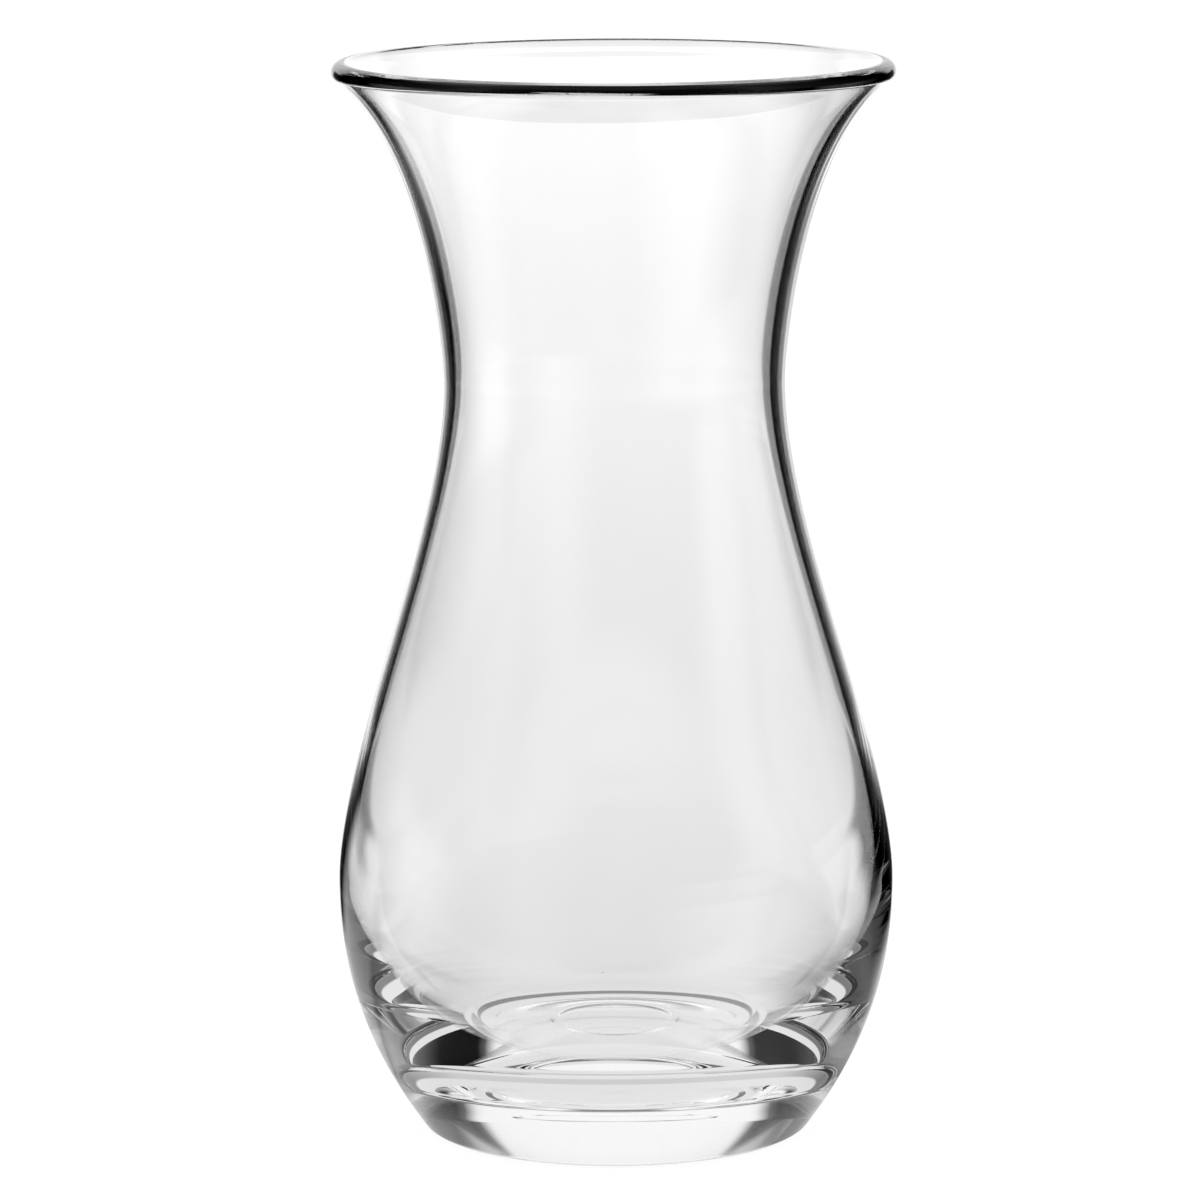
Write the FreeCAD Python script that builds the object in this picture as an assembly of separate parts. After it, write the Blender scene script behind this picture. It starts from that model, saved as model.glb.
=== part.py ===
"""A clear glass hyacinth vase, blown as one piece and turned about its own axis.

Millimetres, +Z up. The origin is on the table, at the centre of the foot.
The glass is one solid: a thick foot, a round belly, a drawn-in waist and a
flared mouth with a fire-rounded lip, all from one closed outline. Inside, the
belly runs down to a crease, with a shallow dish below it and a fine ring on
the dish's flat floor.
"""

import FreeCAD
import Part
import math
import os

# Overall
HEIGHT = 220.0

# Foot: a flat ring to stand on, a ground hollow under it, a rounded heel
FOOT_RADIUS = 37.6
FOOT_HOLLOW_RADIUS = 30.0
FOOT_HOLLOW_DEPTH = 1.2
HEEL_ROUND = 3.0
HEEL_SLOPE = 54.0
HEEL_PULL = 14.0

# Belly: the widest part of the outside and of the inside
BELLY_RADIUS = 57.0
BELLY_HEIGHT = 51.4
BELLY_PULL_DOWN = 23.3
BELLY_PULL_UP = 26.0
BELLY_WALL = 3.0
BELLY_INSIDE_RISE = 5.0
BELLY_INSIDE_PULL_DOWN = 20.0
BELLY_INSIDE_PULL_UP = 24.0

# Waist: the narrowest part
WAIST_RADIUS = 35.0
WAIST_HEIGHT = 155.2
WAIST_PULL_DOWN = 30.5
WAIST_PULL_UP = 5.0
WAIST_WALL = 3.0
WAIST_INSIDE_RISE = 1.0
WAIST_INSIDE_PULL_DOWN = 30.0
WAIST_INSIDE_PULL_UP = 8.0

# Lip: a flared rim with a rounded bead, a little thicker than the wall
LIP_RADIUS = 57.1
LIP_BEAD = 2.2
LIP_CORNER = 1.4
LIP_SLOPE = 40.0
LIP_PULL = 24.0
LIP_INSIDE_ROUND = 1.4
LIP_INSIDE_SLOPE = 42.0
LIP_INSIDE_PULL = 24.0

# Crease round the bottom of the inside, and the shallow dish below it
CREASE_RADIUS = 30.8
CREASE_HEIGHT = 15.3
CREASE_SLOPE = 20.0
CREASE_PULL = 14.0
DISH_SLOPE = 55.0
DISH_PULL = 0.8
DISH_INSIDE_PULL = 6.0

# Floor: the dish's flat middle, with a fine raised ring on it
FLOOR_RADIUS = 19.0
FLOOR_THICKNESS = 14.0
FLOOR_RING_RADIUS = 13.0
FLOOR_RING_HALF_WIDTH = 1.2
FLOOR_RING_RISE = 0.35


def point(radius, height):
    """A point of the outline, by its distance from the axis and its height."""
    return FreeCAD.Vector(radius, 0, height)


def along(slope):
    """The unit step that leads outward and up at a slope, in degrees."""
    turn = math.radians(slope)
    return point(math.cos(turn), math.sin(turn))


def pulled_curve(start, start_pull, end_pull, end):
    """A smooth curve that leaves start and reaches end along the two pulls."""
    curve = Part.BezierCurve()
    curve.setPoles([start, start + start_pull, end + end_pull, end])
    return curve.toShape()


def round_arc(centre, radius, start_slope, end_slope):
    """A round stretch about a centre, between two directions from it."""
    middle_slope = (start_slope + end_slope) / 2
    ends = [centre + along(slope) * radius for slope in (start_slope, middle_slope, end_slope)]
    return Part.Arc(*ends).toShape(), ends[0], ends[-1]


def foot_edges():
    """The underside from the axis out to the heel, and the heel's round."""
    hollow_top = point(0, FOOT_HOLLOW_DEPTH)
    hollow_rim = point(FOOT_HOLLOW_RADIUS, 0)
    sphere = (FOOT_HOLLOW_RADIUS ** 2 + FOOT_HOLLOW_DEPTH ** 2) / (2 * FOOT_HOLLOW_DEPTH)
    half_turn = math.asin(FOOT_HOLLOW_RADIUS / sphere) / 2
    hollow_side = point(sphere * math.sin(half_turn), FOOT_HOLLOW_DEPTH - sphere * (1 - math.cos(half_turn)))
    hollow = Part.Arc(hollow_top, hollow_side, hollow_rim).toShape()
    ring = Part.LineSegment(hollow_rim, point(FOOT_RADIUS, 0)).toShape()
    heel_centre = point(FOOT_RADIUS, HEEL_ROUND)
    heel, _, heel_end = round_arc(heel_centre, HEEL_ROUND, -90, HEEL_SLOPE - 90)
    return [hollow, ring, heel], heel_end


def body_edges(heel_end, lip_start):
    """The outside: heel to belly, belly to waist, waist to the lip."""
    belly = point(BELLY_RADIUS, BELLY_HEIGHT)
    waist = point(WAIST_RADIUS, WAIST_HEIGHT)
    lower = pulled_curve(heel_end, along(HEEL_SLOPE) * HEEL_PULL, point(0, -BELLY_PULL_DOWN), belly)
    upper = pulled_curve(belly, point(0, BELLY_PULL_UP), point(0, -WAIST_PULL_DOWN), waist)
    flare = pulled_curve(waist, point(0, WAIST_PULL_UP), along(LIP_SLOPE) * -LIP_PULL, lip_start)
    return [lower, upper, flare]


def lip_edges():
    """The lip: a tight lower corner, a round bead and an easy inner shoulder."""
    bead_centre = point(LIP_RADIUS - LIP_BEAD, HEIGHT - LIP_BEAD)
    corner_centre = point(LIP_RADIUS - LIP_CORNER, HEIGHT - LIP_BEAD)
    inner_centre = point(LIP_RADIUS - LIP_BEAD, HEIGHT - LIP_INSIDE_ROUND)
    corner, lip_start, _ = round_arc(corner_centre, LIP_CORNER, LIP_SLOPE - 90, 0)
    bead, _, _ = round_arc(bead_centre, LIP_BEAD, 0, 90)
    shoulder, _, lip_end = round_arc(inner_centre, LIP_INSIDE_ROUND, 90, 90 + LIP_INSIDE_SLOPE)
    return [corner, bead, shoulder], lip_start, lip_end


def inside_edges(lip_end):
    """The inside: mouth to waist, waist to belly, belly to the crease round the bowl."""
    waist = point(WAIST_RADIUS - WAIST_WALL, WAIST_HEIGHT + WAIST_INSIDE_RISE)
    belly = point(BELLY_RADIUS - BELLY_WALL, BELLY_HEIGHT + BELLY_INSIDE_RISE)
    crease = point(CREASE_RADIUS, CREASE_HEIGHT)
    mouth = pulled_curve(
        lip_end, along(LIP_INSIDE_SLOPE) * -LIP_INSIDE_PULL, point(0, WAIST_INSIDE_PULL_UP), waist
    )
    neck = pulled_curve(
        waist, point(0, -WAIST_INSIDE_PULL_DOWN), point(0, BELLY_INSIDE_PULL_UP), belly
    )
    bowl = pulled_curve(
        belly, point(0, -BELLY_INSIDE_PULL_DOWN), along(CREASE_SLOPE) * CREASE_PULL, crease
    )
    return [mouth, neck, bowl], crease


def floor_edges(crease):
    """The bottom of the inside: the dish, its flat floor and the fine ring on it."""
    edge = point(FLOOR_RADIUS, FLOOR_THICKNESS)
    ring_outside = point(FLOOR_RING_RADIUS + FLOOR_RING_HALF_WIDTH, FLOOR_THICKNESS)
    ring_top = point(FLOOR_RING_RADIUS, FLOOR_THICKNESS + FLOOR_RING_RISE)
    ring_inside = point(FLOOR_RING_RADIUS - FLOOR_RING_HALF_WIDTH, FLOOR_THICKNESS)
    dish = pulled_curve(crease, along(DISH_SLOPE) * -DISH_PULL, point(DISH_INSIDE_PULL, 0), edge)
    outer_floor = Part.LineSegment(edge, ring_outside).toShape()
    ring = Part.Arc(ring_outside, ring_top, ring_inside).toShape()
    inner_floor = Part.LineSegment(ring_inside, point(0, FLOOR_THICKNESS)).toShape()
    return [dish, outer_floor, ring, inner_floor]


def glass_vase():
    """The whole vase: its half outline closed on the axis and turned once round."""
    foot, heel_end = foot_edges()
    lip, lip_start, lip_end = lip_edges()
    body = body_edges(heel_end, lip_start)
    inside, crease = inside_edges(lip_end)
    floor = floor_edges(crease)
    axis = Part.LineSegment(point(0, FLOOR_THICKNESS), point(0, FOOT_HOLLOW_DEPTH)).toShape()
    outline = Part.Wire(foot + body + lip + inside + floor + [axis])
    return Part.Face(outline).revolve(point(0, 0), FreeCAD.Vector(0, 0, 1), 360)


def save(shape, node):
    """Write one node's solid, after a look that it is sound."""
    if not shape.isValid() or len(shape.Solids) != 1:
        raise ValueError(node + " is not one sound solid")
    shape.Solids[0].exportStep("parts/" + node + ".step")
    print(node, "volume", round(shape.Volume), "top", round(shape.BoundBox.ZMax, 2))


os.makedirs("parts", exist_ok=True)
save(glass_vase(), "glass_vase")
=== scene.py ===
"""A clear glass hyacinth vase on a white table, lit from behind between dark side cards.

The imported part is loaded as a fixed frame, and the vase is made here once more as one
fine turned surface, with the glass finish on it. Sizes of the glass are in millimetres,
as its maker would give them, and become metres in the mesh.
"""

import logging
import math
from dataclasses import dataclass, field
from enum import Enum
from typing import Any, Sequence

import bpy
import numpy as np
from mathutils import Euler, Matrix


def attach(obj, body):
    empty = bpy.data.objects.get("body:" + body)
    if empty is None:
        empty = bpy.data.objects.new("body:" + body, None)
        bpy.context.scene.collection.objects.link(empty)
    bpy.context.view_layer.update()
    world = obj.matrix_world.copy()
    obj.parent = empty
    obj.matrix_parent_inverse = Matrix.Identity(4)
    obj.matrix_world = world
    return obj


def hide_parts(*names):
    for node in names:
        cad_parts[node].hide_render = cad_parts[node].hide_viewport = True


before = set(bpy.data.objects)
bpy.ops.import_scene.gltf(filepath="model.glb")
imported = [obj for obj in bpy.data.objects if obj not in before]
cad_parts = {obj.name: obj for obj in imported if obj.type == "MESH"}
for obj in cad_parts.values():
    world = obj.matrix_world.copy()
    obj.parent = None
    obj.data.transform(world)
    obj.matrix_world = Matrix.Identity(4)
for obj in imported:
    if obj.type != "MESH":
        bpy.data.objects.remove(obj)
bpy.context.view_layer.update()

log = logging.getLogger("vase")

METRES_PER_MM = 0.001
BODY = "root"
GLASS_NODE = "glass_vase"

#: How often a ray may be bent or thrown back, and how often thrown back, before it ends.
BOUNCES = 32
REFLECTIONS = 18

HALF_TURN = 180.0
#: The direction straight up, in degrees above the horizon.
UPWARD = 90.0
DEGREES = HALF_TURN / math.pi
WHITE = (1.0, 1.0, 1.0, 1.0)

#: (place, tone) pairs, in order.
Tones = tuple[tuple[float, float], ...]


class Coordinate(Enum):
    """Where a pattern is measured: on the piece itself, or by direction in the world."""

    PIECE = "Object"
    SKY = "Generated"


class Value:
    """A number in a node tree: sums and products of it add the nodes that work them out."""

    def __init__(self, graph: "Graph", socket: bpy.types.NodeSocket) -> None:
        """Keep the tree and the socket that gives the number."""
        self.graph = graph
        self.socket = socket

    def __add__(self, other: "Value | float") -> "Value":
        """This number plus another."""
        return self.graph.math("ADD", self, other)

    __radd__ = __add__

    def __mul__(self, other: "Value | float") -> "Value":
        """This number times another."""
        return self.graph.math("MULTIPLY", self, other)

    __rmul__ = __mul__

    def __sub__(self, other: "Value | float") -> "Value":
        """This number less another."""
        return self.graph.math("SUBTRACT", self, other)

    def __rsub__(self, other: "Value | float") -> "Value":
        """Another number less this one."""
        return self.graph.math("SUBTRACT", other, self)

    def __truediv__(self, other: "Value | float") -> "Value":
        """This number divided by another."""
        return self.graph.math("DIVIDE", self, other)

    def above(self, edge: "Value | float", width: float) -> "Value":
        """0 below edge, 1 from edge plus width on, in a straight climb.

        Args:
            edge: where the climb starts.
            width: how far the climb takes.

        Returns:
            The mask.
        """
        return self.graph.math("ADD", (self - edge) / width, 0.0, clamp=True)


class Graph:
    """One node tree, and the only place that adds nodes to it."""

    def __init__(self, tree: bpy.types.NodeTree) -> None:
        """Start from an empty tree."""
        self.tree = tree
        tree.nodes.clear()

    def node(self, kind: str, settings: dict[str, Any] | None = None,
             inputs: dict[Any, Any] | None = None) -> bpy.types.Node:
        """Add one node.

        Args:
            kind: the node's type name.
            settings: its own settings, set first; "stops" are a ramp's (place, grey) pairs.
            inputs: a value, Value or socket for each of its sockets.

        Returns:
            The node.
        """
        made = self.tree.nodes.new(kind)
        for name, value in (settings or {}).items():
            if name == "stops":
                self._set_stops(made.color_ramp, value)
            else:
                setattr(made, name, value)
        for name, value in (inputs or {}).items():
            self._feed(made.inputs[name], value)
        return made

    def _set_stops(self, ramp: bpy.types.ColorRamp, stops: Sequence[tuple[float, float]]) -> None:
        """Give a ramp its stops.

        Args:
            ramp: the ramp.
            stops: (place from 0 to 1, grey) pairs, in order.
        """
        while len(ramp.elements) < len(stops):
            ramp.elements.new(1.0)
        for element, (place, grey) in zip(ramp.elements, stops):
            element.position = place
            element.color = (grey, grey, grey, 1.0)

    def _feed(self, socket: bpy.types.NodeSocket, value: Any) -> None:
        """Link a socket to a Value or another socket, or set its constant.

        Args:
            socket: the socket to feed.
            value: what it gets.
        """
        if isinstance(value, Value):
            value = value.socket
        if isinstance(value, bpy.types.NodeSocket):
            self.tree.links.new(value, socket)
        else:
            socket.default_value = value

    def math(self, operation: str, *values: "Value | float", clamp: bool = False) -> Value:
        """One Math node on numbers.

        Args:
            operation: the node's operation.
            values: its one to three numbers.
            clamp: whether the result is kept from 0 to 1.

        Returns:
            The result.
        """
        inputs = dict(enumerate(values))
        made = self.node("ShaderNodeMath", {"operation": operation, "use_clamp": clamp}, inputs)
        return Value(self, made.outputs[0])

    def place(self, measured: Coordinate) -> bpy.types.NodeSocket:
        """The place or direction of the shaded point, as a vector."""
        return self.node("ShaderNodeTexCoord").outputs[measured.value]

    def parts(self, vector: bpy.types.NodeSocket) -> list[Value]:
        """The x, y and z of a vector."""
        made = self.node("ShaderNodeSeparateXYZ", inputs={0: vector})
        return [Value(self, socket) for socket in made.outputs]

    def ray(self, question: str) -> Value:
        """1 where the ray is of the kind that a Light Path output names."""
        return Value(self, self.node("ShaderNodeLightPath").outputs[question])

    def glass_rays(self) -> Value:
        """1 on rays that glass has thrown back or let through."""
        return self.math("MAXIMUM", self.ray("Is Glossy Ray"), self.ray("Is Transmission Ray"))

    def azimuth(self, across: Value, ahead: Value) -> Value:
        """Degrees from straight behind the vase, clockwise seen from above."""
        return self.math("ARCTAN2", across, ahead) * DEGREES

    def away_from(self, degrees: Value, middle: float) -> Value:
        """How many degrees an azimuth lies from another, either way round."""
        return self.math("ABSOLUTE", self.math("WRAP", degrees - middle, HALF_TURN, -HALF_TURN))

    def ramp(self, along: Value, tones: Tones, whole: float = HALF_TURN) -> Value:
        """A tone read off (place, tone) pairs.

        Args:
            along: the place.
            tones: the pairs, in order.
            whole: the place at the ramp's end.

        Returns:
            The tone.
        """
        peak = max(grey for _, grey in tones)
        stops = [(place / whole, grey / peak) for place, grey in tones]
        made = self.node("ShaderNodeValToRGB", {"stops": stops}, {"Fac": along / whole})
        return Value(self, made.outputs[0]) * peak


def unit(slope: float) -> np.ndarray:
    """The unit step outward and up at a slope in degrees, as (radius, height)."""
    turn = math.radians(slope)
    return np.array([math.cos(turn), math.sin(turn)])


def drawn(start: np.ndarray, start_pull: np.ndarray, end_pull: np.ndarray, end: np.ndarray,
          steps: int) -> np.ndarray:
    """A smooth curve between two points, drawn out by a pull at each end.

    The point at share t is (1-t)^3 start + 3 (1-t)^2 t (start + start pull)
    + 3 (1-t) t^2 (end + end pull) + t^3 end.

    Args:
        start: first point, as (radius, height).
        start_pull: step from it along which the curve leaves.
        end_pull: step from the last point back along which the curve comes in.
        end: last point.
        steps: how many points to give.

    Returns:
        The points, one a row.
    """
    t = np.linspace(0.0, 1.0, steps)[:, None]
    u = 1.0 - t
    return (u ** 3 * start + 3 * u ** 2 * t * (start + start_pull)
            + 3 * u * t ** 2 * (end + end_pull) + t ** 3 * end)


def rounded(centre: np.ndarray, radius: float, first: float, last: float, steps: int) -> np.ndarray:
    """A round stretch: centre + radius (cos a, sin a), with a from first to last degrees."""
    turn = np.radians(np.linspace(first, last, steps))[:, None]
    return centre + radius * np.hstack([np.cos(turn), np.sin(turn)])


@dataclass
class GlassVase:
    """The whole vase: one piece of glass, turned about its own axis. Sizes in mm."""

    height: float = 220.0
    foot_radius: float = 37.6
    hollow_radius: float = 30.0
    hollow_depth: float = 1.2
    heel_round: float = 3.0
    heel_slope: float = 54.0
    heel_pull: float = 14.0
    belly_radius: float = 57.0
    belly_height: float = 51.4
    belly_pull_down: float = 23.3
    belly_pull_up: float = 26.0
    belly_wall: float = 3.1
    belly_inside_rise: float = 3.5
    belly_inside_pull_down: float = 20.0
    belly_inside_pull_up: float = 24.0
    waist_radius: float = 35.0
    waist_height: float = 155.2
    waist_pull_down: float = 30.5
    waist_pull_up: float = 5.0
    waist_wall: float = 3.1
    waist_inside_rise: float = 1.0
    waist_inside_pull_down: float = 30.0
    waist_inside_pull_up: float = 9.0
    lip_radius: float = 57.1
    lip_bead: float = 2.2
    lip_corner: float = 1.4
    lip_slope: float = 40.0
    lip_pull: float = 24.0
    lip_inside_round: float = 1.4
    lip_inside_slope: float = 42.5
    lip_inside_pull: float = 24.5
    crease_radius: float = 30.8
    crease_height: float = 15.3
    crease_slope: float = 20.0
    crease_pull: float = 14.0
    dish_slope: float = 55.0
    dish_pull: float = 0.8
    dish_inside_pull: float = 6.0
    floor_radius: float = 19.0
    floor_thickness: float = 14.0
    ring_radius: float = 13.0
    ring_half_width: float = 1.2
    ring_rise: float = 0.22
    #: How far the inside lies to the side of the outside, and over how many points it gets there.
    inside_shift: float = -0.22
    shift_points: float = 40.0
    #: How many points each stretch of the outline gets, and how many columns go round.
    hollow_points: int = 24
    heel_points: int = 12
    wall_points: int = 60
    flare_points: int = 50
    corner_points: int = 10
    bead_points: int = 14
    dish_points: int = 24
    ring_points: int = 13
    flat_points: int = 6
    floor_points: int = 12
    columns: int = 192
    outside: list[np.ndarray] = field(default_factory=list)
    inside: list[np.ndarray] = field(default_factory=list)

    def draw_outside(self) -> None:
        """Draw the half outline from the axis under the foot, up the outside, to the lip's top."""
        sphere = (self.hollow_radius ** 2 + self.hollow_depth ** 2) / (2 * self.hollow_depth)
        half_turn = math.degrees(math.asin(self.hollow_radius / sphere))
        hollow_centre = np.array([0.0, self.hollow_depth - sphere])
        hollow = rounded(hollow_centre, sphere, UPWARD, UPWARD - half_turn, self.hollow_points)
        ring = np.linspace([self.hollow_radius, 0.0], [self.foot_radius, 0.0], self.flat_points)
        heel = rounded(np.array([self.foot_radius, self.heel_round]), self.heel_round,
                       -UPWARD, self.heel_slope - UPWARD, self.heel_points)
        belly = np.array([self.belly_radius, self.belly_height])
        waist = np.array([self.waist_radius, self.waist_height])
        bead_height = self.height - self.lip_bead
        corner = rounded(np.array([self.lip_radius - self.lip_corner, bead_height]),
                         self.lip_corner, self.lip_slope - UPWARD, 0.0, self.corner_points)
        bead = rounded(np.array([self.lip_radius - self.lip_bead, bead_height]),
                       self.lip_bead, 0.0, UPWARD, self.bead_points)
        up = np.array([0.0, 1.0])
        lower = drawn(heel[-1], unit(self.heel_slope) * self.heel_pull,
                      -up * self.belly_pull_down, belly, self.wall_points)
        upper = drawn(belly, up * self.belly_pull_up, -up * self.waist_pull_down, waist,
                      self.wall_points)
        flare = drawn(waist, up * self.waist_pull_up,
                      unit(self.lip_slope) * -self.lip_pull, corner[0], self.flare_points)
        self.outside = [hollow, ring, heel, lower, upper, flare, corner, bead]

    def draw_inside(self) -> None:
        """Draw the half outline from the lip's top, down the inside, to the floor's centre."""
        top = np.array([self.lip_radius - self.lip_bead, self.height - self.lip_inside_round])
        shoulder = rounded(top, self.lip_inside_round, UPWARD, UPWARD + self.lip_inside_slope,
                           self.corner_points)
        waist = np.array([self.waist_radius - self.waist_wall,
                          self.waist_height + self.waist_inside_rise])
        belly = np.array([self.belly_radius - self.belly_wall,
                          self.belly_height + self.belly_inside_rise])
        crease = np.array([self.crease_radius, self.crease_height])
        floor_edge = np.array([self.floor_radius, self.floor_thickness])
        up = np.array([0.0, 1.0])
        out = np.array([1.0, 0.0])
        mouth = drawn(shoulder[-1], unit(self.lip_inside_slope) * -self.lip_inside_pull,
                      up * self.waist_inside_pull_up, waist, self.flare_points)
        neck = drawn(waist, -up * self.waist_inside_pull_down,
                     up * self.belly_inside_pull_up, belly, self.wall_points)
        bowl = drawn(belly, -up * self.belly_inside_pull_down,
                     unit(self.crease_slope) * self.crease_pull, crease, self.wall_points)
        dish = drawn(crease, unit(self.dish_slope) * -self.dish_pull,
                     out * self.dish_inside_pull, floor_edge, self.dish_points)
        ring_outside = np.array([self.ring_radius + self.ring_half_width, self.floor_thickness])
        outer_floor = np.linspace(floor_edge, ring_outside, self.flat_points)
        inner_floor = np.linspace([self.ring_radius - self.ring_half_width, self.floor_thickness],
                                  [0.0, self.floor_thickness], self.floor_points)
        self.inside = [shoulder, mouth, neck, bowl, dish, outer_floor, self.floor_ring(), inner_floor]

    def floor_ring(self) -> np.ndarray:
        """The fine ring on the floor: an arc over its width that rises to its height.

        Returns:
            The points from its outer edge to its inner edge, one a row.
        """
        bend = (self.ring_half_width ** 2 + self.ring_rise ** 2) / (2 * self.ring_rise)
        half_turn = math.degrees(math.asin(self.ring_half_width / bend))
        centre = np.array([self.ring_radius, self.floor_thickness + self.ring_rise - bend])
        return rounded(centre, bend, UPWARD - half_turn, UPWARD + half_turn, self.ring_points)

    def rows(self) -> tuple[np.ndarray, np.ndarray]:
        """The outline's points in order, and how far each lies to the side of the axis.

        Returns:
            (radius, height) a row, and the sideways shift of each, all in mm.
        """
        points = [self.outside[0]] + [run[1:] for run in self.outside[1:] + self.inside]
        shift = [np.zeros(len(run)) for run in points[:len(self.outside)]]
        shift += [np.full(len(run), self.inside_shift) for run in points[len(self.outside):]]
        rim = len(np.vstack(points[:len(self.outside)]))
        outline = np.vstack(points)
        easing = np.clip((np.arange(len(outline)) - rim) / self.shift_points, 0.0, 1.0)
        return outline, np.concatenate(shift) * easing

    def surface(self) -> tuple[np.ndarray, np.ndarray, np.ndarray]:
        """The turned surface: x = shift + radius sin a, y = -radius cos a, z = height.

        The two ends of the outline lie on the axis and become one point each.

        Returns:
            Corner places in metres, the faces' corners, and how many corners each has.
        """
        outline, shift = self.rows()
        count = self.columns
        turn = np.linspace(0.0, 2 * math.pi, count, endpoint=False)
        ring_rows = outline[1:-1]
        x = shift[1:-1, None] + ring_rows[:, :1] * np.sin(turn)
        y = -ring_rows[:, :1] * np.cos(turn)
        z = np.broadcast_to(ring_rows[:, 1:], x.shape)
        rings = np.stack([x, y, z], axis=-1).reshape(-1, 3)
        poles = np.array([[shift[0], 0.0, outline[0, 1]], [shift[-1], 0.0, outline[-1, 1]]])
        places = np.vstack([rings, poles]) * METRES_PER_MM
        row, column = np.meshgrid(np.arange(len(ring_rows) - 1), np.arange(count), indexing="ij")
        here, there = row * count + column, row * count + (column + 1) % count
        quads = np.stack([here, there, there + count, here + count], axis=-1).reshape(-1)
        ring = np.arange(count)
        after = (ring + 1) % count
        last = (len(ring_rows) - 1) * count
        under = np.stack([np.full(count, len(rings)), after, ring], axis=-1).reshape(-1)
        over = np.stack([np.full(count, len(rings) + 1), last + ring, last + after], axis=-1).reshape(-1)
        corners = np.concatenate([quads, under, over])
        sides = np.concatenate([np.full(len(quads) // 4, 4), np.full(2 * count, 3)])
        return places, corners, sides

    def build(self, finish: "ClearGlass") -> bpy.types.Object:
        """Make the vase, dress it and seat it in the frame.

        Args:
            finish: the glass.

        Returns:
            The vase.
        """
        self.draw_outside()
        self.draw_inside()
        places, corners, sides = self.surface()
        vase = mesh_object("hyacinth_vase", places, corners, sides)
        vase.data.materials.append(finish.material())
        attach(vase, BODY)
        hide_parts(GLASS_NODE)
        return vase


def mesh_object(name: str, places: np.ndarray, corners: np.ndarray,
                sides: np.ndarray) -> bpy.types.Object:
    """A smooth mesh object from arrays.

    Args:
        name: the piece's name.
        places: corner places in metres, one a row.
        corners: every face's corners, one after another.
        sides: how many corners each face has.

    Returns:
        The object, at the origin.
    """
    mesh = bpy.data.meshes.new(name)
    mesh.vertices.add(len(places))
    mesh.vertices.foreach_set("co", places.astype(np.float32).ravel())
    mesh.loops.add(len(corners))
    mesh.loops.foreach_set("vertex_index", corners.astype(np.int32))
    mesh.polygons.add(len(sides))
    starts = np.concatenate([[0], np.cumsum(sides)[:-1]])
    mesh.polygons.foreach_set("loop_start", starts.astype(np.int32))
    mesh.polygons.foreach_set("use_smooth", np.ones(len(sides), bool))
    mesh.update(calc_edges=True)
    mesh.validate()
    made = bpy.data.objects.new(name, mesh)
    bpy.context.scene.collection.objects.link(made)
    return made


@dataclass(frozen=True)
class ClearGlass:
    """Clear colourless soda glass, fire polished, with the faint waves of a blown wall."""

    bend: float = 1.52
    wave_scale: float = 38.0
    wave_detail: float = 1.0
    wave_height: float = 0.00002
    #: Tiny bubbles under the outside, as (x, y, z, radius) in mm.
    seeds: tuple[tuple[float, float, float, float], ...] = (
        (4.1, -36.7, 134.2, 0.45), (15.3, -34.6, 127.1, 0.35),
        (-2.8, -56.5, 44.0, 0.4), (-4.0, -56.4, 44.6, 0.25), (1.5, -56.5, 47.5, 0.25),
    )
    seed_height: float = 0.00008

    def seeded(self, graph: Graph, here: bpy.types.NodeSocket) -> Value:
        """The bubbles' domes: for each, 1 - (distance / radius)^2 where that is above 0.

        Args:
            graph: the tree to work in.
            here: the place on the piece.

        Returns:
            The height of the domes, from 0 to 1.
        """
        x, y, z = graph.parts(here)
        domes: Value | float = 0.0
        for *middle, radius in self.seeds:
            off = [axis - place * METRES_PER_MM for axis, place in zip((x, y, z), middle)]
            reach = (radius * METRES_PER_MM) ** 2
            squared = off[0] * off[0] + off[1] * off[1] + off[2] * off[2]
            domes = domes + (1.0 - squared / reach).above(0.0, 1.0)
        return domes

    def material(self) -> bpy.types.Material:
        """The glass material, with its waves and its few bubbles as a slight bump.

        Returns:
            The material.
        """
        made = bpy.data.materials.new("clear_glass_finish")
        made.use_nodes = True
        graph = Graph(made.node_tree)
        here = graph.place(Coordinate.PIECE)
        waves = graph.node("ShaderNodeTexNoise", inputs={
            "Vector": here, "Scale": self.wave_scale, "Detail": self.wave_detail,
        })
        wavy = graph.node("ShaderNodeBump", inputs={
            "Height": waves.outputs[0], "Distance": self.wave_height,
        })
        bump = graph.node("ShaderNodeBump", inputs={
            "Height": self.seeded(graph, here), "Distance": self.seed_height, "Normal": wavy.outputs[0],
        })
        glass = graph.node("ShaderNodeBsdfPrincipled", inputs={
            "Base Color": WHITE, "Roughness": 0.0, "IOR": self.bend,
            "Transmission Weight": 1.0, "Normal": bump.outputs[0],
        })
        graph.node("ShaderNodeOutputMaterial", inputs={"Surface": glass.outputs[0]})
        return made


@dataclass(frozen=True)
class Window:
    """A white opening in the studio's surround, with a dark card on each side of it."""

    #: Its middle, in degrees from straight behind.
    azimuth: float
    #: Its tones, by degrees from the middle.
    tones: Tones = ((18.5, 1.0), (20.0, 0.2), (23.0, 0.05), (30.0, 0.01), (36.0, 0.0))
    #: How far its cards go, in degrees from the middle.
    card_end: float = 42.0
    card_end_fade: float = 8.0
    #: How far out on the table the window reaches, in metres.
    reach: float = 100.0
    reach_fade: float = 0.1

    def white(self, graph: Graph, degrees: Value) -> Value:
        """The window's own tone at an azimuth."""
        return graph.ramp(graph.away_from(degrees, self.azimuth), self.tones)

    def past_cards(self, graph: Graph, degrees: Value) -> Value:
        """0 before the window and its cards, 1 past them."""
        return graph.away_from(degrees, self.azimuth).above(self.card_end, self.card_end_fade)


#: The window on the left, which the room and the table share.
LEFT_WINDOW = Window(-90.0, ((8.0, 0.85), (28.0, 0.0)))


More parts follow.
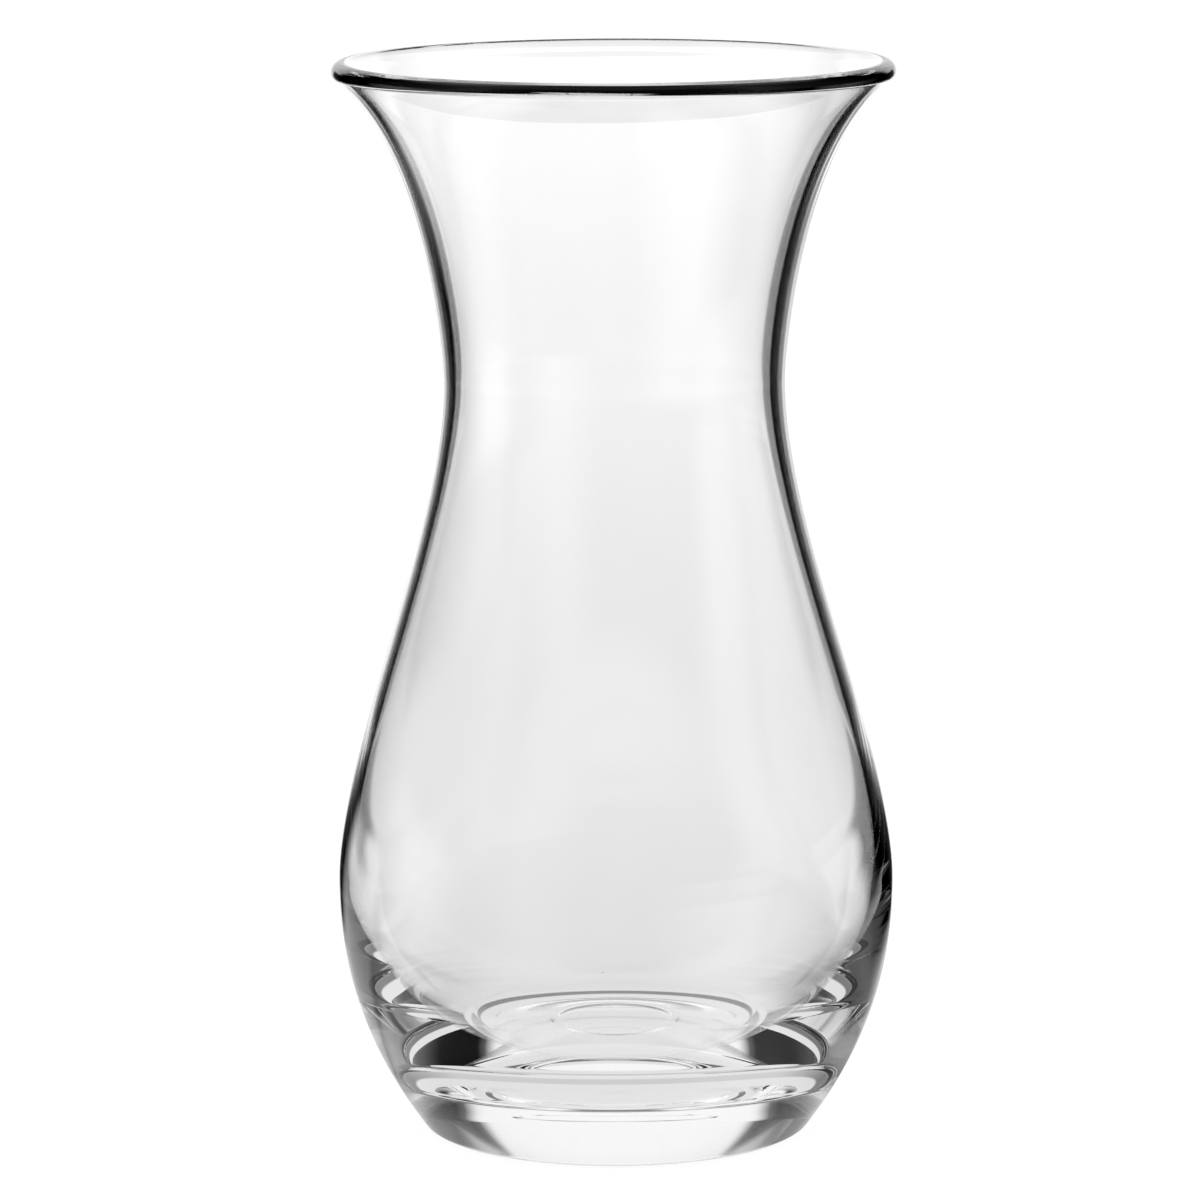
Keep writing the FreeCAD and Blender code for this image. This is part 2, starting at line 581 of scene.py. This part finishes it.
def opened(graph: Graph, degrees: Value, windows: Sequence[Window], around: Value,
           away: Value | None = None) -> Value:
    """Cut windows and their dark cards into a tone that goes round.

    Args:
        graph: the tree to work in.
        degrees: the azimuth.
        windows: the windows.
        around: the tone without them.
        away: metres from the vase, where the windows are on the table.

    Returns:
        The tone with them.
    """
    for window in windows:
        around = around * window.past_cards(graph, degrees)
    for window in windows:
        white = window.white(graph, degrees)
        if away is not None:
            white = white * (1.0 - away.above(window.reach, window.reach_fade))
        around = graph.math("MAXIMUM", around, white)
    return around


@dataclass(frozen=True)
class LitRoom:
    """White for the eye; for the glass, windows between dark cards and a bright overhead."""

    high_windows: tuple[Window, ...] = (
        Window(0.0, ((27.0, 1.0), (29.0, 0.9), (33.0, 0.1), (36.0, 0.0)),
               card_end=58.0, card_end_fade=20.0),
    )
    #: The windows close above the table, up to an elevation in degrees.
    low_windows: tuple[Window, ...] = (Window(0.0), LEFT_WINDOW)
    low_window_top: float = 3.0
    low_window_fade: float = 3.0
    #: Tones of the room between the windows, by degrees away from straight behind.
    room_tones: Tones = (
        (42.0, 0.06), (50.0, 0.02), (62.0, 0.05), (88.0, 0.07), (105.0, 0.18), (118.0, 0.35),
        (130.0, 0.12), (145.0, 0.05), (165.0, 0.06), (180.0, 0.06),
    )
    #: The overhead light: where it starts, and its tone by degrees away from straight behind.
    overhead_elevation: float = 38.0
    overhead_fade: float = 20.0
    overhead_tones: Tones = ((60.0, 1.15), (85.0, 0.8), (105.0, 0.3), (180.0, 0.25))
    #: The darker ceiling straight above it.
    zenith_elevation: float = 68.0
    zenith_fade: float = 8.0
    zenith_tone: float = 0.2

    def tone(self, graph: Graph, degrees: Value, rise: Value) -> Value:
        """What the glass sees of the room in a direction.

        Args:
            graph: the tree to work in.
            degrees: the direction's azimuth.
            rise: its elevation in degrees.

        Returns:
            The tone.
        """
        behind = graph.away_from(degrees, 0.0)
        room = graph.ramp(behind, self.room_tones)
        tall = opened(graph, degrees, self.high_windows, room)
        low = opened(graph, degrees, self.low_windows, room)
        side = low + rise.above(self.low_window_top, self.low_window_fade) * (tall - low)
        lit = graph.ramp(behind, self.overhead_tones)
        lamp = lit + rise.above(self.zenith_elevation, self.zenith_fade) * (self.zenith_tone - lit)
        return side + rise.above(self.overhead_elevation, self.overhead_fade) * (lamp - side)

    def world(self) -> bpy.types.World:
        """The surround as a world.

        Returns:
            The world.
        """
        made = bpy.data.worlds.new("studio")
        made.use_nodes = True
        graph = Graph(made.node_tree)
        across, ahead, up = graph.parts(graph.place(Coordinate.SKY))
        rise = graph.math("ARCSINE", up) * DEGREES
        seen = self.tone(graph, graph.azimuth(across, ahead), rise)
        strength = 1.0 + graph.glass_rays() * (seen - 1.0)
        shine = graph.node("ShaderNodeBackground", inputs={"Color": WHITE, "Strength": strength})
        graph.node("ShaderNodeOutputWorld", inputs={"Surface": shine.outputs[0]})
        return made


@dataclass(frozen=True)
class WhiteTable:
    """The table's finish: white to the eye; for the glass only, painted light and shade: the studio's
    windows and dark cards, the vase's shadow and the foot's contact shadow painted on it.
    """

    back_window: Window = Window(0.0)
    #: A wider stretch of the back window, between two distances in metres.
    wide_back_window: Window = Window(0.0, ((25.0, 1.0), (27.0, 0.15), (31.0, 0.02), (36.0, 0.0)))
    wide_start: float = 0.68
    wide_end: float = 0.82
    wide_fade: float = 0.06
    side_windows: tuple[Window, ...] = (
        LEFT_WINDOW,
        Window(135.0, ((6.0, 0.75), (34.0, 0.0)), reach=1.4, reach_fade=1.2),
        Window(-54.0, ((13.0, 0.88), (23.0, 0.0)), card_end=0.0, card_end_fade=1.0,
               reach=0.45, reach_fade=0.25),
    )
    #: : How far from the vase the dark of the cards, painted on the table, starts, in metres, by degrees
    #: away from straight behind.
    card_distances: Tones = ((22.0, 0.24), (28.0, 0.17), (45.0, 0.13), (60.0, 0.1))
    card_fade: float = 0.05
    #: : Tones of the far table between the windows, and of the near table before the cards, seen only by
    #: the glass: painted shade, darker at the sides and darkest in front.
    table_tones: Tones = (
        (45.0, 0.0), (58.0, 0.1), (70.0, 0.5), (108.0, 0.5), (128.0, 0.12), (150.0, 0.05),
    )
    near_tones: Tones = (
        (40.0, 1.0), (58.0, 0.45), (75.0, 0.2), (100.0, 0.2), (120.0, 0.08), (150.0, 0.05),
    )
    #: How far the white close round the foot goes, in metres.
    foot_reach: float = 0.043
    foot_fade: float = 0.015
    #: : The painted contact shadow, a thin dark line where the foot touches the table: its size in
    #: metres, and its tone going round.
    contact_shadow_radius: float = 0.036
    contact_shadow_half_width: float = 0.0013
    contact_shadow_fade: float = 0.0007
    contact_shadow_tones: Tones = ((60.0, 0.25), (110.0, 0.8), (180.0, 0.8))
    #: : Painted shade and light on the table as the glass sees it, by the distance from the vase in
    #: metres: the vase's shadow painted darker near it, and the table painted brighter than white far
    #: off.
    shade: Tones = (
        (0.05, 0.80), (0.07, 0.86), (0.14, 0.89), (0.28, 0.93), (0.5, 0.93), (0.8, 0.97),
        (1.2, 1.03), (2.0, 1.12), (3.0, 1.16),
    )
    #: The white that the eye sees, and the matt paint that takes the shadow.
    eye_white: float = 0.94
    paint: tuple[float, ...] = (0.12, 0.12, 0.12, 1.0)

    def painted_contact_shadow(self, graph: Graph, behind: Value, away: Value) -> Value:
        """The factor that paints the foot's contact shadow, the dark line where the foot touches.

        Args:
            graph: the tree to work in.
            behind: degrees away from straight behind.
            away: the distance from the vase's axis, in metres.

        Returns:
            The line's tone on the line, 1 beside it.
        """
        line = graph.ramp(behind, self.contact_shadow_tones)
        beside = graph.math("ABSOLUTE", away - self.contact_shadow_radius)
        return line + beside.above(self.contact_shadow_half_width, self.contact_shadow_fade) * (1.0 - line)

    def tone(self, graph: Graph, degrees: Value, away: Value) -> Value:
        """What the glass sees of the table at a place: the studio's windows and cards and the vase's
        shadows, painted as light and shade.

        Args:
            graph: the tree to work in.
            degrees: the place's azimuth.
            away: its distance from the vase's axis, in metres.

        Returns:
            The tone.
        """
        behind = graph.away_from(degrees, 0.0)
        bare = graph.ramp(behind, self.table_tones)
        table, wide_table = (
            opened(graph, degrees, [window, *self.side_windows], bare, away)
            for window in (self.back_window, self.wide_back_window)
        )
        narrow = 1.0 - away.above(self.wide_end, self.wide_fade)
        table = table + away.above(self.wide_start, self.wide_fade) * narrow * (wide_table - table)
        near = graph.ramp(behind, self.near_tones)
        for window in self.side_windows:
            near = graph.math("MAXIMUM", near, window.white(graph, degrees))
        close = 1.0 + away.above(self.foot_reach, self.foot_fade) * (near - 1.0)
        far = away.above(graph.ramp(behind, self.card_distances), self.card_fade)
        # Painted shade: darker round the vase as its shadow, and painted extra light far off.
        shade = graph.ramp(away, self.shade, self.shade[-1][0])
        # The foot's contact shadow is painted in as a thin dark ring.
        return (close + far * (table - close)) * shade * self.painted_contact_shadow(graph, behind, away)

    def material(self) -> bpy.types.Material:
        """The table's material: an even white glow for the eye, a glow with painted light and shade for
        the glass, and matt paint that takes the real shadow.

        Returns:
            The material.
        """
        made = bpy.data.materials.new("white_table")
        made.use_nodes = True
        graph = Graph(made.node_tree)
        across, ahead, _ = graph.parts(graph.place(Coordinate.PIECE))
        away = graph.math("SQRT", across * across + ahead * ahead)
        seen = self.tone(graph, graph.azimuth(across, ahead), away)
        in_glass = graph.glass_rays()
        strength = graph.ray("Is Camera Ray") * self.eye_white + in_glass * seen
        glow = graph.node("ShaderNodeEmission", inputs={"Color": WHITE, "Strength": strength})
        matt = graph.node("ShaderNodeBsdfDiffuse", inputs={"Color": self.paint})
        nothing = graph.node("ShaderNodeEmission", inputs={"Strength": 0.0})
        paint = graph.node("ShaderNodeMixShader",
                           inputs={0: in_glass, 1: matt.outputs[0], 2: nothing.outputs[0]})
        both = graph.node("ShaderNodeAddShader", inputs={0: glow.outputs[0], 1: paint.outputs[0]})
        graph.node("ShaderNodeOutputMaterial", inputs={"Surface": both.outputs[0]})
        return made


@dataclass
class Studio:
    """The table top and the lit room round it. Sizes in metres."""

    table_side: float = 30.0
    room: LitRoom = LitRoom()
    finish: WhiteTable = WhiteTable()

    def build(self) -> bpy.types.Object:
        """Light the room and lay the wide flat table top, which keeps the vase's soft shadow.

        Returns:
            The table top.
        """
        bpy.context.scene.world = self.room.world()
        half = self.table_side / 2
        places = np.array([[-half, -half, 0.0], [half, -half, 0.0], [half, half, 0.0],
                           [-half, half, 0.0]])
        table = mesh_object("table_top", places, np.arange(4), np.array([4]))
        table.data.materials.append(self.finish.material())
        return table


@dataclass
class PhotoCamera:
    """The camera at the photograph's place, fitted to the vase's outline."""

    away: float = 1.3046
    above: float = 0.3273
    aside: float = -0.0031
    down_degrees: float = 9.48
    roll_degrees: float = -0.2
    focal_pixels: float = 6461.7
    image_pixels: float = 1200.0
    sensor_mm: float = 36.0

    def stand(self) -> bpy.types.Object:
        """Make the camera and use it.

        Returns:
            The camera.
        """
        lens = bpy.data.cameras.new("photo_camera")
        lens.sensor_width = self.sensor_mm
        lens.lens = self.focal_pixels * lens.sensor_width / self.image_pixels
        camera = bpy.data.objects.new("photo_camera", lens)
        camera.location = (self.aside, -self.away, self.above)
        tilt = Euler((math.radians(UPWARD - self.down_degrees), 0.0, 0.0)).to_matrix()
        roll = Matrix.Rotation(math.radians(self.roll_degrees), 3, "Z")
        camera.rotation_euler = (tilt @ roll).to_euler()
        bpy.context.scene.collection.objects.link(camera)
        bpy.context.scene.camera = camera
        return camera


def main() -> None:
    """Stand the camera, set up the studio, make the vase."""
    logging.basicConfig(level=logging.INFO, format="%(name)s: %(message)s")
    scene = bpy.context.scene
    scene.view_settings.view_transform = "Standard"
    scene.cycles.max_bounces = BOUNCES
    scene.cycles.transmission_bounces = BOUNCES
    scene.cycles.glossy_bounces = REFLECTIONS
    PhotoCamera().stand()
    for made in (Studio().build(), GlassVase().build(ClearGlass())):
        log.info("%s: %d faces", made.name, len(made.data.polygons))


if __name__ == "__main__":
    main()
